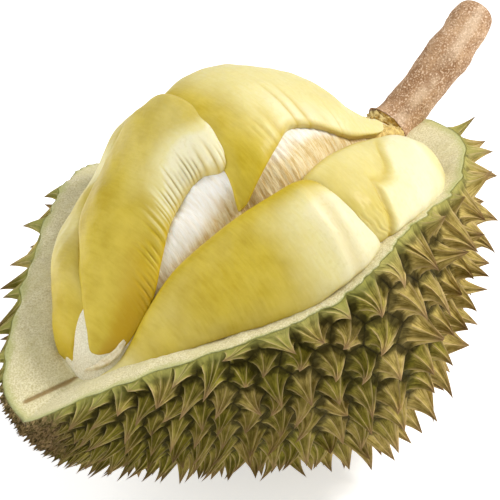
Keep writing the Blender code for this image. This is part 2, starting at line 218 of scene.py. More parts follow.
def makePiece(name, points, nodes, marks, material, faces=None, uv=None, sharp=None, weld=1e-7):
    # one closed mesh, in place, from a grid of points or given faces; marks are numbers on its points, and
    # uv has a row for each corner of the faces
    mesh = bpy.data.meshes.new(name)
    if faces is None:
        faces = gridFaces(*points.shape[:2]).tolist()
    mesh.from_pydata(toWorld(points.reshape(-1, 3)).tolist(), [], faces)
    mesh.materials.append(material)
    for key, values in marks.items():
        layer = mesh.attributes.new(key, "FLOAT", "POINT")
        layer.data.foreach_set("value", np.ascontiguousarray(values, np.float32).ravel())
    if uv is not None:
        mesh.uv_layers.new(name="UVMap").data.foreach_set("uv", np.ascontiguousarray(uv, np.float32).ravel())
    bm = bmesh.new()
    bm.from_mesh(mesh)
    bmesh.ops.remove_doubles(bm, verts=bm.verts, dist=weld)
    bmesh.ops.dissolve_degenerate(bm, edges=bm.edges, dist=weld / 2)
    if bm.calc_volume(signed=True) < 0:
        bmesh.ops.reverse_faces(bm, faces=bm.faces)
    openEdges = sum(len(e.link_faces) != 2 for e in bm.edges)
    bm.to_mesh(mesh)
    bm.free()
    mesh.shade_smooth()
    if sharp is not None:
        mesh.set_sharp_from_angle(angle=math.radians(sharp))
    piece = bpy.data.objects.new(name, mesh)
    bpy.context.scene.collection.objects.link(piece)
    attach(piece, "root")
    if nodes:
        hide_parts(*nodes)
    print(name, len(mesh.polygons), "faces, open edges", openEdges)


class Wire:
    # a socket of a material, whose operators add Math nodes
    def __init__(self, material, socket=None):
        self.material = material
        self.socket = socket

    def node(self, kind, settings, sockets, out=0):
        tree = self.material.node_tree
        made = tree.nodes.new(kind)
        for key, value in settings.items():
            setattr(made, key, value)
        for key, value in sockets.items():
            if isinstance(value, Wire):
                tree.links.new(value.socket, made.inputs[key])
            else:
                made.inputs[key].default_value = value
        return Wire(self.material, made.outputs[out])

    def math(self, operation, a, b):
        return self.node("ShaderNodeMath", {"operation": operation}, {0: a, 1: b})

    def __abs__(self):
        return self.math("ABSOLUTE", self, 0.0)

    def step(self, start, end):
        # 0 before start, 1 after end, smooth between them
        return self.node("ShaderNodeMapRange", {"interpolation_type": "SMOOTHSTEP"},
                         {0: self, 1: start, 2: end, 3: 0.0, 4: 1.0})

    def mix(self, first, second):
        # colour between first and second, by this value
        first, second = (v if isinstance(v, Wire) else (*v, 1.0) for v in (first, second))
        return self.node("ShaderNodeMix", {"data_type": "RGBA"}, {0: self, 6: first, 7: second}, out=2)

    def marks(self, *names):
        return [self.node("ShaderNodeAttribute", {"attribute_name": name}, {}, out=2) for name in names]

    def noise(self, scale, detail, roughness):
        # noise at these coordinates, with one scale, or three to stretch it
        if isinstance(scale, tuple):
            return self.node("ShaderNodeMapping", {}, {"Vector": self, "Scale": scale}).noise(1.0, detail, roughness)
        return self.node("ShaderNodeTexNoise", {},
                         {"Vector": self, "Scale": scale, "Detail": detail, "Roughness": roughness})


def wireOperator(operation, reflected):
    return lambda self, other: self.math(operation, *((other, self) if reflected else (self, other)))


for sign, kind in (("add", "ADD"), ("sub", "SUBTRACT"), ("mul", "MULTIPLY"), ("truediv", "DIVIDE"), ("pow", "POWER")):
    setattr(Wire, f"__{sign}__", wireOperator(kind, False))
    setattr(Wire, f"__r{sign}__", wireOperator(kind, True))


def setInputs(node, values):
    for key, value in values.items():
        node.inputs[key].default_value = value


def startMaterial(name, constants):
    # a new material's coordinates, in metres with x along the fruit's axis
    material = bpy.data.materials.new(name)
    material.use_nodes = True
    setInputs(material.node_tree.nodes["Principled BSDF"], constants)
    coords = Wire(material).node("ShaderNodeTexCoord", {}, {}, out=3)
    return coords.node("ShaderNodeMapping", {"vector_type": "POINT"},
                       {"Vector": coords, "Rotation": (0.0, math.radians(fruit["tilt"]), 0.0)})


def painted(body, form, layers):
    # a piece's colours laid over its body in turn, each by its mask times its strength
    for name, (mask, strength) in layers.items():
        body = (mask * strength).mix(body, form[name])
    return body


def finish(colour, roughness, height, depth):
    # the material, with its colour, roughness and bump connected
    bump = height.node("ShaderNodeBump", {}, {"Strength": 1.0, "Distance": depth, "Height": height})
    tree = colour.material.node_tree
    for key, value in (("Base Color", colour), ("Roughness", roughness), ("Normal", bump)):
        tree.links.new(value.socket, tree.nodes["Principled BSDF"].inputs[key])
    return colour.material


# thorny skin: every thorn is a pyramid on its own cell, and the cells share their edges

thorn = {
    "spacingBlossom": 0.0085, "spacingStalk": 0.0184,
    "spacingReach": 1.1, "spacingPower": 0.75,  # how the spacing grows along c
    "apexSpacing": 0.0032, "apexReach": 0.09,  # fine spines at the very blossom end
    "stalkEndShare": 0.4, "stalkEndReach": 0.1,  # closer again round the stalk
    "rowPitch": 0.87, "rowShift": 0.25,  # in spacings
    "rowScatter": 0.22, "shiftScatter": 0.2,  # how far thorns stray, in rows and spacings
    "blossomRing": 0.03, "stalkRing": 0.08,  # where the first and last cells end, sine of the angle
    "endColumns": 8, "cornerReach": 0.3,  # an end corner this near a cut moves onto it
    "tallest": 0.0168, "slenderness": 1.42,  # height, at most and in spacings
    "shortening": 0.34, "shorteningPower": 1.6,
    "deepest": 0.0052, "valleyShare": 0.32,  # valleys, at most and in spacings
    "ridgePower": 1.7, "facePower": 3.2,  # hollowness on a ridge and on a face
    "hollowPower": 0.8,  # how soon a ridge turns into a face
    "lean": 0.0042, "leanScatter": 0.0038,  # how far a full tip leans towards the stalk
    "fullSpacing": 0.018,  # spacing of the thorn that the lean is meant for
    "rings": (0.0, 0.06, 0.15, 0.28, 0.46, 0.7, 1.0),  # faces from the tip to the cell's edge
    "parts": 4, "sideCount": 6.0,  # faces along a cell's side, and its usual sides
    "skin": 0.003, "poleDip": 0.0006,  # thickness, and dip at the blossom's pole
    "boxGap": 1e-5, "weld": 2e-6, "crease": 32, "seed": 40,
    "khaki": ((0.24, 0.168, 0.026), (0.66, 0.515, 0.16)),
    # green is partly the skin's own colour and partly painted shade
    "green": ((0.105, 0.094, 0.004), (0.37, 0.32, 0.036)),
    # the ridge colour is a painted highlight along the thorns' ridges
    "nearCut": (0.38, 0.38, 0.105), "ridge": (0.68, 0.51, 0.25), "dryTip": (0.4, 0.23, 0.125),
    # the valleys' colour is painted shade at the thorns' feet
    "valleyShade": (0.042, 0.032, 0.003), "seam": (0.018, 0.013, 0.002),
    "spines": ((0.045, 0.026, 0.006), (0.5, 0.33, 0.16)),
}

# the rind's edge at the cuts
rim = {
    "thornRise": 0.0042, "thornReach": 0.006,  # lift by a thorn, and how near the cut it stands
    "bumpWidth": 0.5, "bumpPower": 1.3,  # half width of a lift in spacings, and its peak
    "waves": ((0.0006, 41, 2), (0.0004, 97, 1)),  # height, pace along c, and shift between the cuts
    "ledge": 0.0016, "ledgeStart": (-0.5, 0.0), "ledgeEnd": (-0.95, -0.75),  # the front edge's higher middle
}


def thornSpacing(c):
    # grows as a power of 1 - c, is less round the stalk, and starts at the apex's spacing
    c = np.asarray(c)
    along = np.clip((1 - c) / thorn["spacingReach"], 0, 1) ** thorn["spacingPower"]
    wide = thorn["spacingBlossom"] + (thorn["spacingStalk"] - thorn["spacingBlossom"]) * along
    wide = wide * (1 - thorn["stalkEndShare"] * smooth(-c, 1 - thorn["stalkEndReach"], 1))
    return thorn["apexSpacing"] + (wide - thorn["apexSpacing"]) * smooth(1 - c, 0, thorn["apexReach"])


def thornValley(c):
    return np.minimum(thorn["deepest"], thorn["valleyShare"] * thornSpacing(c))


def radiusAt(c):
    return lengths(rind(c, 0.0) - rind(c, 180.0)) / 2


def trapezoids(length, across):
    # running sum of the steps of length over across
    return np.concatenate([[0.0], np.cumsum(np.diff(length) / (0.5 * (across[1:] + across[:-1])))])


def meridian():
    # c and the length of the rind's line under the fruit
    c = np.cos(np.linspace(0.0, math.pi, fruit["tableSteps"]))
    steps = lengths(np.diff(rind(c, 270.0)[:, [0, 2]], axis=0))
    return c, np.concatenate([[0.0], np.cumsum(steps)])


def ringPlaces():
    # c of the rings that the cells end at
    return math.sqrt(1 - thorn["blossomRing"] ** 2), -math.sqrt(1 - thorn["stalkRing"] ** 2)


def thornSites(rng):
    # rows of thorns as c, psi and a kind: 0 thorn, 1 mirrored past a cut, 2 past an end
    cLine, length = meridian()
    rows = trapezoids(length, thorn["rowPitch"] * thornSpacing(cLine))
    first, last = (np.interp(-c, -cLine, rows) for c in ringPlaces())
    count = int(round(last - first))
    sites = []
    for row in range(-1, count + 1):
        level = first + (row + 0.5) * (last - first) / count
        c = float(np.interp(level, rows, cLine))
        low, high = cutAngle(backCut, c), cutAngle(frontCut, c)
        arc = math.radians(high - low) * float(radiusAt(c))
        columns = max(3, int(round(arc / float(thornSpacing(c)))))
        shift = thorn["rowShift"] if row % 2 else -thorn["rowShift"]
        stray = rng.uniform(-thorn["shiftScatter"], thorn["shiftScatter"], columns)
        psi = low + (np.arange(columns) + 0.5 + shift + stray) * ((high - low) / columns)
        atEnd = row in (-1, count)
        drift = rng.uniform(-thorn["rowScatter"], thorn["rowScatter"], columns) * (not atEnd)
        sites.append(np.stack([np.interp(level + drift, rows, cLine), psi, np.full(columns, 2.0 * atEnd)], 1))
        sites.append([(c, 2 * low - psi[0], 1 + atEnd), (c, 2 * high - psi[-1], 1 + atEnd)])
    return np.concatenate(sites)


def thornCells(rng):
    # the cells: a flat chart keeps angles, its triangles join three sites, and their middles are the corners
    sites = thornSites(rng)
    cLine, length = meridian()
    chart = trapezoids(length, np.maximum(radiusAt(cLine), 1e-4))

    def onChart(c, psi):
        return np.stack([np.interp(-c, -cLine, chart), np.radians(psi)], 1)

    flat = onChart(sites[:, 0], sites[:, 1])
    triangles = delaunay_2d_cdt([Vector(p) for p in flat], [], [], 0, 1e-7)[2]
    triangles = np.array([list(t) for t in triangles])
    kinds = sites[triangles, 2]
    keep = (kinds == 0).any(1)
    triangles, kinds = triangles[keep], kinds[keep]
    atEnd = (kinds == 2).any(1)
    c, psi = sites[triangles, 0].mean(1), sites[triangles, 1].mean(1)
    c = np.where(atEnd, np.where(c > 0, *ringPlaces()), c)
    low, high = cutAngle(backCut, c), cutAngle(frontCut, c)
    cornerReach = thorn["cornerReach"] * (high - low) / thorn["endColumns"]
    atRim = (kinds == 1).any(1) | (atEnd & (np.minimum(psi - low, high - psi) < cornerReach))
    nearLow = psi - low < high - psi
    psi = np.where(atRim, np.where(nearLow, low, high), psi)
    rimSide = np.where(atRim, np.where(nearLow, backCut, frontCut), 0)
    corners = {"c": c, "psi": psi, "rim": rimSide, "end": atEnd, "flat": onChart(c, psi)}
    # each thorn's corners in order of their direction from it
    owner, corner = triangles.ravel(), np.repeat(np.arange(len(triangles)), 3)
    real = sites[owner, 2] == 0
    owner, corner = owner[real], corner[real]
    away = corners["flat"][corner] - flat[owner]
    order = np.lexsort((np.arctan2(away[:, 1], away[:, 0]), owner))
    owner, corner = owner[order], corner[order]
    changes = owner[1:] != owner[:-1]
    numbers = np.arange(len(owner))
    firstOf = np.maximum.accumulate(np.where(np.r_[True, changes], numbers, 0))
    following = corner[np.where(np.r_[changes, True], firstOf, numbers + 1)]
    long = lengths(corners["flat"][corner] - corners["flat"][following]) > 1e-5
    side = (owner[long], corner[long], following[long], (numbers - firstOf)[long])
    return sites, flat, corners, side, (cLine, chart)


def rimBumps(sites, corners, owner, first, second):
    # for each cut, the c, rise and half width of the lifts that its nearest thorns give it
    border = {}
    for which in (backCut, frontCut):
        touching = np.unique(owner[(corners["rim"][first] == which) & (corners["rim"][second] == which)])
        c, psi = sites[touching, 0], sites[touching, 1]
        away = np.radians(np.abs(psi - cutAngle(which, c))) * radiusAt(c)
        spacing = thornSpacing(c)
        rise = rim["thornRise"] * bell(away, 0, rim["thornReach"]) * spacing / thorn["fullSpacing"]
        border[which] = (c, rise, rim["bumpWidth"] * spacing / fruit["radius"])
    return border


def rimLift(c, border, which):
    # minus the valley's depth, plus the highest lift here, two sines of c, and the ledge
    c = np.asarray(c, float)
    at, rise, width = border[which]
    bumps = rise * np.clip(1 - np.abs(c[..., None] - at) / width, 0, 1) ** rim["bumpPower"]
    wave = sum(height * np.sin(pace * c + shift * which) for height, pace, shift in rim["waves"])
    ledge = rim["ledge"] * smooth(c, *rim["ledgeStart"]) * smooth(-c, *rim["ledgeEnd"]) * (which == frontCut)
    return -thornValley(c) + bumps.max(-1) + wave + ledge


def buildSkin():
    # on a line from a thorn's tip to its cell's edge: height = edge + (tip - edge) (1 - share)^power
    rng = np.random.default_rng(thorn["seed"])
    sites, flat, corners, (owner, first, second, number), (cLine, chart) = thornCells(rng)
    border = rimBumps(sites, corners, owner, first, second)
    siteC, sitePsi = sites[:, 0], sites[:, 1]
    spacing = thornSpacing(siteC)
    draw = np.random.default_rng(thorn["seed"] + 1)
    tone = draw.uniform(0, 1, len(sites))
    tallness = 1 - thorn["shortening"] * draw.uniform(0, 1, len(sites)) ** thorn["shorteningPower"]
    leanAlong = thorn["lean"] + draw.normal(0, thorn["leanScatter"], len(sites))
    leanAcross = draw.normal(0, thorn["leanScatter"], len(sites))
    tip = np.minimum(thorn["tallest"], thorn["slenderness"] * spacing) * tallness - thornValley(siteC)

    # the cells' edges
    t = np.linspace(0, 1, thorn["parts"] + 1)
    a, b = corners["flat"][first][:, None], corners["flat"][second][:, None]
    edge = a + (b - a) * t[None, :, None]
    edgeC = np.interp(edge[..., 0], chart, cLine)
    edgePsi = np.degrees(edge[..., 1])
    lowest = -thornValley(corners["c"])
    sameRim = (corners["rim"][first] == corners["rim"][second]) & (corners["rim"][first] > 0)
    for which in (backCut, frontCut):
        lowest = np.where(corners["rim"] == which, rimLift(corners["c"], border, which), lowest)
    edgeLift = lowest[first][:, None] * (1 - t) + lowest[second][:, None] * t
    for which in (backCut, frontCut):
        on = (sameRim & (corners["rim"][first] == which))[:, None]
        edgePsi = np.where(on, cutAngle(which, edgeC), edgePsi)
        edgeLift = np.where(on, rimLift(edgeC, border, which), edgeLift)

    # the faces between each tip and its edges
    share = np.array(thorn["rings"])[None, :, None]
    apex = flat[owner][:, None, None]
    edgeFlat = np.stack([edge[..., 0], np.radians(edgePsi)], -1)[:, None]
    spot = apex + (edgeFlat - apex) * share[..., None]
    c, psi = np.interp(spot[..., 0], chart, cLine), np.degrees(spot[..., 1])
    hollow = np.sin(math.pi * t) ** thorn["hollowPower"]
    rise = (1 - share) ** (thorn["ridgePower"] + (thorn["facePower"] - thorn["ridgePower"]) * hollow)
    lift = edgeLift[:, None] + (tip[owner][:, None, None] - edgeLift[:, None]) * rise
    alongFruit = unit(rind(siteC + 0.002, sitePsi) - rind(siteC - 0.002, sitePsi))
    acrossFruit = unit(rind(siteC, sitePsi + 0.2) - rind(siteC, sitePsi - 0.2), 1e-9)
    bend = alongFruit * leanAlong[:, None] + acrossFruit * leanAcross[:, None]
    bend = bend * (spacing / thorn["fullSpacing"])[:, None]
    points = rind(c, psi, lift) + bend[owner][:, None, None] * (rise ** 2)[..., None]
    grid = np.arange(c.size).reshape(c.shape)

    # a thin inner side closes the skin, with walls along the cuts and round the stalk
    insideC = np.concatenate([edgeC, siteC[owner][:, None]], 1)
    insidePsi = np.concatenate([edgePsi, sitePsi[owner][:, None]], 1)
    insideLift = np.concatenate([edgeLift, -thornValley(siteC[owner])[:, None]], 1) - thorn["skin"]
    inner = c.size + np.arange(insideC.size).reshape(insideC.shape)
    atEnd = corners["end"][first] & corners["end"][second] & (corners["c"][first] * corners["c"][second] > 0)
    blossomEdge = atEnd & (corners["c"][first] > 0)
    walled = sameRim | (atEnd & ~blossomEdge)

    # the blossom's ring closes to its pole, on both sides, with two short walls at the cuts
    poleAt = c.size + inner.size
    poles = rind(np.array([1.0, 1.0]), np.zeros(2), np.array([-thorn["poleDip"], -thorn["skin"]]))
    capPsi, capOut, capIn = (part[blossomEdge] for part in (edgePsi, grid[:, -1], inner[:, :-1]))
    capEnds = capPsi[:, [0, -1]].T.ravel()
    ends = [(poleAt, capOut[:, [0, -1]].T.flat[k], capIn[:, [0, -1]].T.flat[k], poleAt + 1)
            for k in (capEnds.argmin(), capEnds.argmax())]
    faceSets = [between(grid[:, :-1], grid[:, 1:]), fan(inner[:, -1:], inner[:, 1:-1], inner[:, :-2]),
                between(grid[walled][:, -1], inner[walled][:, :-1]), fan(capOut[:, :-1], capOut[:, 1:], poleAt),
                fan(capIn[:, 1:], capIn[:, :-1], poleAt + 1), np.array(ends)]

    allPoints = np.concatenate([points.reshape(-1, 3), rind(insideC, insidePsi, insideLift).reshape(-1, 3), poles])
    low, high = np.array(cadBox[0]) + thorn["boxGap"], np.array(cadBox[1]) - thorn["boxGap"]
    allPoints = toFruit(np.clip(toWorld(allPoints), low, high))

    def onSkin(values, inside):
        # values of the outer side, and one for the inner side and the poles
        return np.concatenate([np.broadcast_to(values, c.shape).ravel(), np.full(inner.size + 2, inside)])

    fromCut = np.minimum(psi - cutAngle(backCut, c), cutAngle(frontCut, c) - psi)
    marks = {
        "tipShare": onSkin(rise, 0.0), "ring": onSkin(share, 1.0), "ridge": onSkin(np.abs(2 * t - 1), 0.0),
        "tone": onSkin(tone[owner][:, None, None], 0.0),
        "blossom": np.concatenate([c.ravel(), insideC.ravel(), [1.0, 1.0]]),
        "rimNear": onSkin(np.radians(np.maximum(fromCut, 0)) * radiusAt(c), 0.0),
    }
    # the skin's own map: angle round the thorn, and ring
    angle = (number[:, None, None] + t) / thorn["sideCount"]
    vertexUv = np.stack([onSkin(angle, 0.0), marks["ring"]], -1)
    faces = [face for part in faceSets for face in part.tolist()]
    corner = np.concatenate([part.ravel() for part in faceSets])
    makePiece("thornySkin", allPoints, ("husk",), marks, thornMaterial(), faces, vertexUv[corner],
              sharp=thorn["crease"], weld=thorn["weld"])
    return border


def thornMaterial():
    coords = startMaterial("thornySkin", {"Specular IOR Level": 0.16})
    tip, ring, ridge, tone = coords.marks("tipShare", "ring", "ridge", "tone")
    blossom, rimNear = coords.marks("blossom", "rimNear")
    uv = coords.node("ShaderNodeUVMap", {"uv_map": "UVMap"}, {})
    offset = coords.node("ShaderNodeCombineXYZ", {}, {"X": tone * 37.0, "Y": tone * 11.0, "Z": tone * 5.0})
    ownMap = coords.node("ShaderNodeVectorMath", {"operation": "ADD"}, {0: uv, 1: offset})
    streak = ownMap.noise((64.0, 2.6, 1.0), 4.0, 0.6)  # runs from tip to foot
    cloud = coords.noise(60.0, 4.0, 0.6)
    blotch = coords.noise(190.0, 3.0, 0.6)
    speck = coords.noise(900.0, 2.0, 0.6)
    light = (streak * 0.6 + blotch * 0.4).step(0.36, 0.66)
    # greener and darker towards the blossom end and the thorns' feet: partly the skin's own green, partly painted
    # shade
    greenAndShade = (blossom * 0.45 + (cloud - 0.5) * 1.8 + tone * 0.5 + 0.12 - tip * 0.25).step(0.05, 0.8)
    inland = rimNear.step(0.001, 0.006)
    # painted shade: low is 1 at the thorns' feet, which are painted dark away from the cuts
    low = 1 - (tip + (blotch - 0.5) * 0.12).step(0.0, 0.15)
    seam = (ring + (speck - 0.5) * 0.16 + (blotch - 0.5) * 0.3).step(0.92, 1.05)
    body = painted(greenAndShade.mix(light.mix(*thorn["khaki"]), light.mix(*thorn["green"])), thorn, {
        "nearCut": (1 - (rimNear + (streak - 0.5) * 0.004).step(0.0005, 0.0075), 0.65),
        # painted highlight along the thorns' ridges, above their feet
        "ridge": (ridge ** 9.0 * tip.step(0.015, 0.25), 0.85),
        "dryTip": ((tip + (streak - 0.5) * 0.3).step(0.5, 0.95), 0.65),
        "valleyShade": (low * inland, 0.82), "seam": (seam * inland, 0.75)})
    apex = (blossom + (blotch - 0.5) * 0.03).step(0.955, 0.99) * 0.75
    body = apex.mix(body, coords.noise(620.0, 3.0, 0.7).step(0.4, 0.6).mix(*thorn["spines"]))
    return finish(body, streak * 0.2 + 0.52, streak * 0.6 + speck * 0.25, 0.0011)


# flesh of the rind: the two cut faces, the hollow's lining, and an underside that the skin hides

cut = {
    "stations": 380, "faceSteps": 16, "liningSteps": 60,  # points along the fruit, over a cut, over the lining
    "proud": 0.0003, "crown": 0.0007,  # swelling of the cut faces, at their edges and middles
    "poleCrown": 0.5,  # share of the swelling that is left at the tips
    "waves": ((0.0004, 0.02, 3), (0.00018, 0.004, 5)),  # height, wavelength, seed
    "edgeTuck": 0.0005,  # how far the flesh's edge stays under the skin's
    "innerRound": 0.003, "innerPower": 14,
    "liningSink": 0.0015, "underSink": 0.0015,
    "grooveWidth": 0.0011, "grooveDepth": 0.0016,  # where the rind would split next, at the blossom end
    "grooveFrom": (0.999, 110.0), "grooveTo": 0.99, "grooveSink": 0.004,
    "grooveShift": (-0.0034, -0.0026, -0.0045),
    "greenWidth": 0.0022, "greenAtEnds": 0.0045, "greenBack": 0.006,
    "cream": ((0.56, 0.49, 0.262), (0.8, 0.745, 0.51)), "olive": (0.62, 0.57, 0.3),
    "green": (0.43, 0.44, 0.15), "skin": (0.17, 0.19, 0.04), "groove": (0.26, 0.15, 0.03),
    "lining": (0.8, 0.75, 0.62),
}


def buildRindFlesh(border):
    # for each c one closed section: front cut, lining, back cut, and under the skin
    c = np.cos(np.linspace(0, math.pi, cut["stations"]))[:, None]
    front = rimAngle(fruit["frontRim"], c) + 360.0
    frontEdge, back = cutAngle(frontCut, c), cutAngle(backCut, c)
    s = np.linspace(0, 1, cut["faceSteps"])[None, :]

    def cutFace(psi, edge, which, sign):
        # the straight line from the rind's edge to the hollow's, pushed round the axis by its swelling
        tuck = cut["edgeTuck"] * (1 - 2 * smooth(c, 0.95, 0.995))
        outer = rind(c, edge, rimLift(c, border, which) - tuck)
        rest = outer + (chamber(c, psi, -0.0002) - outer) * s[..., None]
        wave = sum(height * ripple(rest, length, seed + which) for height, length, seed in cut["waves"])
        swell = cut["proud"] + cut["crown"] * np.sin(math.pi * s) - cut["innerRound"] * s ** cut["innerPower"]
        swell = swell + wave * np.sin(math.pi * np.clip(s * 1.15, 0, 1))
        swell = swell * (cut["poleCrown"] + (1 - cut["poleCrown"]) * smooth(1 - np.abs(c), 0, 0.02))
        push = unit(rind(c, psi + sign) - rind(c, psi), 1e-6)
        return rest + push * swell[..., None]

    frontFace = cutFace(front, frontEdge, frontCut, 1.0)
    backFace = cutFace(back, back, backCut, -1.0)
    turn = np.linspace(0, 1, cut["liningSteps"])[None, 1:-1]
    sink = cut["liningSink"] * np.sin(math.pi * turn) ** 0.3
    lining = chamber(c, front + (back - front) * turn, -sink)
    underPsi = back + (frontEdge - back) * turn
    underside = rind(c, underPsi, -thornValley(c) - cut["underSink"])
    for end in (0, -1):  # both tips close to a line
        frontFace[end] = backFace[end] = (frontFace[end] + backFace[end]) / 2
        lining[end], underside[end] = frontFace[end, -1], frontFace[end, 0]
    rows = np.concatenate([frontFace, lining, backFace[:, ::-1], underside], 1)
    across = np.concatenate([np.repeat(s, len(c), 0), np.full(lining.shape[:2], 1.2),
                             np.repeat(s[:, ::-1], len(c), 0), np.zeros(underside.shape[:2])], 1)
    edgePsi = np.concatenate([np.repeat(frontEdge, cut["faceSteps"], 1), np.zeros(lining.shape[:2]),
                              np.repeat(back, cut["faceSteps"], 1), underPsi], 1)
    fromEdge = lengths(rows - rind(c, edgePsi, rimLift(c, border, frontCut)))

    # the groove is a bell of the distance from a line, seen from the opened side
    shift, openSide = np.array(cut["grooveShift"]), np.array(fruit["openSide"])
    start = chamber(*cut["grooveFrom"]) + shift
    line = rind(cut["grooveTo"], cutAngle(backCut, cut["grooveTo"]), -cut["grooveSink"]) + shift - start
    share = np.clip((rows - start) @ line / (line @ line), 0, 1)
    gap = rows - start - share[..., None] * line
    away = lengths(gap - (gap @ openSide)[..., None] * openSide)
    onCut = (across < 1.1) & (across > 0.02)
    groove = bell(away, 0, cut["grooveWidth"]) * onCut * smooth(0.9 - share, 0, 0.12)
    groove[[0, -1]] = 0
    rows = rows - openSide * (cut["grooveDepth"] * groove)[..., None]
    width = cut["greenWidth"] + cut["greenAtEnds"] * smooth(np.abs(c), 0.55, 0.9)
    width = np.where(np.arange(rows.shape[1])[None, :] < cut["faceSteps"], width, cut["greenBack"])
    marks = {"across": across, "fromEdge": fromEdge, "groove": groove, "greenWidth": width}
    makePiece("rindFlesh", rows, (), marks, cutMaterial())


def cutMaterial():
    coords = startMaterial("cutRind", {
        "Specular IOR Level": 0.3, "Subsurface Weight": 0.15, "Subsurface Radius": (0.6, 0.5, 0.25),
        "Subsurface Scale": 0.003})
    across, fromEdge, groove, greenWidth = coords.marks("across", "fromEdge", "groove", "greenWidth")
    grain = coords.noise(1300.0, 2.0, 0.6)
    fibres = coords.noise((240.0, 900.0, 900.0), 3.0, 0.6)
    cloud = coords.noise(70.0, 3.0, 0.5)
    edge = 1 - (fromEdge + (cloud - 0.5) * 0.003 + (grain - 0.5) * 0.002) / greenWidth
    body = painted(grain.step(0.3, 0.72).mix(*cut["cream"]), cut, {
        "olive": (cloud.step(0.4, 0.7), 0.5), "green": (edge.step(0.0, 0.95), 0.8),
        "skin": (1 - (fromEdge + (grain - 0.5) * 0.0008).step(0.0002, 0.001), 0.8),
        "groove": (groove.step(0.2, 0.8), 0.8)})
    body = across.step(1.02, 1.1).mix(body, cut["lining"])
    return finish(body, grain * 0.2 + 0.5, grain * 0.5 + fibres * 0.5, 0.0003)


# flesh segments: each station gives place along the axis in mm, psi and lift above the hollow's wall in mm
# of one edge, the same three of the other edge, and the crown's height in mm

pods = {
    "podFrontLeft": {
        "nodes": ("aril_front_left",), "root": 16, "seed": 11,
        "stations": (
            (-92, 32, 2, -92, 32, 2, 0), (-87, 30, 5, -87, 36, -3, 3), (-79, 28, 8, -79, 43, -3, 5),
            (-68, 26, 10, -68, 52, -3, 7), (-52, 23.5, 10, -52, 57, -3, 9), (-30, 20.5, 10, -30, 55, -3, 10),
            (-10, 22.5, 10, -10, 52, -3, 10), (8, 24, 10, 5, 50, -2, 8), (17, 25.5, 8, 11, 45, 0, 5),
            (19, 33, 0, 19, 33, 0, 0))},
    "podFrontRight": {
        "nodes": ("aril_front_right",), "root": 16, "seed": 12,
        "stations": (
            (0, 36, -4, 0, 36, -4, 0), (6, 27, 4, 4, 48, -4, 4), (18, 25.5, 9, 14, 51, -3, 8),
            (36, 24.5, 9, 33, 52, -3, 9), (54, 21, 7, 54, 51, -3, 9), (70, 16.5, 6, 72, 48, -3, 8),
            (85, 13, 4, 86, 41, -3, 6), (92, 12, 3, 92, 33, -1, 4), (95, 22, 1, 95, 22, 1, 0))},
    "podBackLeft": {
        "nodes": ("aril_back_left",), "root": 15, "seed": 13,
        "stations": (
            (-91, 60, -3, -91, 60, -3, 0), (-88.5, 50, -3, -90, 72, -2, 2.3), (-81, 44, -3, -83.5, 92, -1, 3),
            (-72, 49, -3, -73, 112, -1, 4), (-62, 55, -3, -63, 122, -1, 5), (-52, 64, -3, -49, 136, -4, 5),
            (-41, 71, -3, -34, 134, -8, 5), (-31, 73, -3, -20, 124, -9, 5), (-21, 72, -3, -10, 114, -7.5, 5.5),
            (-12, 68, -3, -3, 104, -5.5, 5.5), (0.5, 86, -4, 0.5, 86, -4, 0))},
    "podBackRight": {
        "nodes": ("aril_back_right",), "root": 15, "seed": 14,
        "stations": (
            (-18, 55, -6, -18, 55, -6, 0), (-15, 55, -5, -14, 66, -4, 1.5), (-9, 57, -3, -11, 80, -4, 3),
            (-2, 59, -3, -8, 99, -5, 4), (9, 62, -3, 4, 107, -8, 4.5), (21, 65, -2, 22, 107, -7, 6),
            (32, 62, -2, 38, 105, -5, 6), (41, 57, -3, 52, 98, -4, 5.5), (49, 54, -3, 60, 86, -5, 5),
            (57, 53, -3, 63, 72, -7, 3.5), (65, 52, -3, 68, 63, -6, 2), (72, 53, -4, 74, 60, -5, 1),
            (76, 57, -4, 76, 57, -4, 0))},
    "podSide": {
        "nodes": ("aril_side",), "root": 12, "seed": 15,
        "stations": (
            (-92.0, 202, 3, -92.0, 202, 3, 0), (-92.8, 176, 2, -92.6, 204, 4, 1), (-93, 122, 0, -92.8, 172, 5, 1.5),
            (-90, 104, -2, -90.5, 148, 5, 2), (-85, 94, -3, -84, 142, 5, 3), (-77, 100, -3, -76, 148, 6, 3.5),
            (-67, 118, -3, -66, 156, 7, 4), (-54, 132, -4, -54, 160, 6, 3), (-38, 140, -8, -40, 162, -1, 3),
            (-18, 138, -16, -18, 166, -10, 4), (8, 136, -18, 8, 168, -12, 4), (30, 136, -16, 30, 160, -12, 4),
            (46, 148, -16, 46, 148, -16, 0))},
}

flesh = {
    "rows": 260, "sides": 120, "boxiness": 0.8, "bluntPower": 4,
    "soft": ((0.0006, 0.03, 0), (0.00022, 0.011, 40)),  # unevenness: height, wavelength, added to the seed
    "gold": ((0.44, 0.315, 0.007), (0.58, 0.445, 0.04)),
    "cream": ((0.725, 0.64, 0.27), (0.755, 0.685, 0.345)),
    # deepGoldShade is painted shade and ivory a painted highlight, each with some of the flesh's own tone
    "deepGoldShade": (0.44, 0.27, 0.003), "ivoryHighlight": (0.84, 0.8, 0.6), "freckle": (0.5, 0.38, 0.03),
    # edge and fold are painted shade: along a segment's sides where it turns under, and in its folds, creases and
    # pleats' valleys
    "edge": (0.56, 0.4, 0.015), "fold": (0.515, 0.35, 0.012),
}


def frontLobe(x, psi):
    # the swollen half of the front right segment, and the crease along its edge: both 0 to 1
    side = x - np.interp(psi, [20, 24, 29, 36, 40], [17, 20, 25, 29, 31])
    top = (38.5 + 0.8 * np.sin(0.3 * x) - psi) * 1.3 + 14 * smooth(x, 42, 58)
    into = np.minimum(side, top)
    return smooth(into, -1.5, 4.0), bell(into, -0.8, 1.5) * smooth(-x, -62, -46)


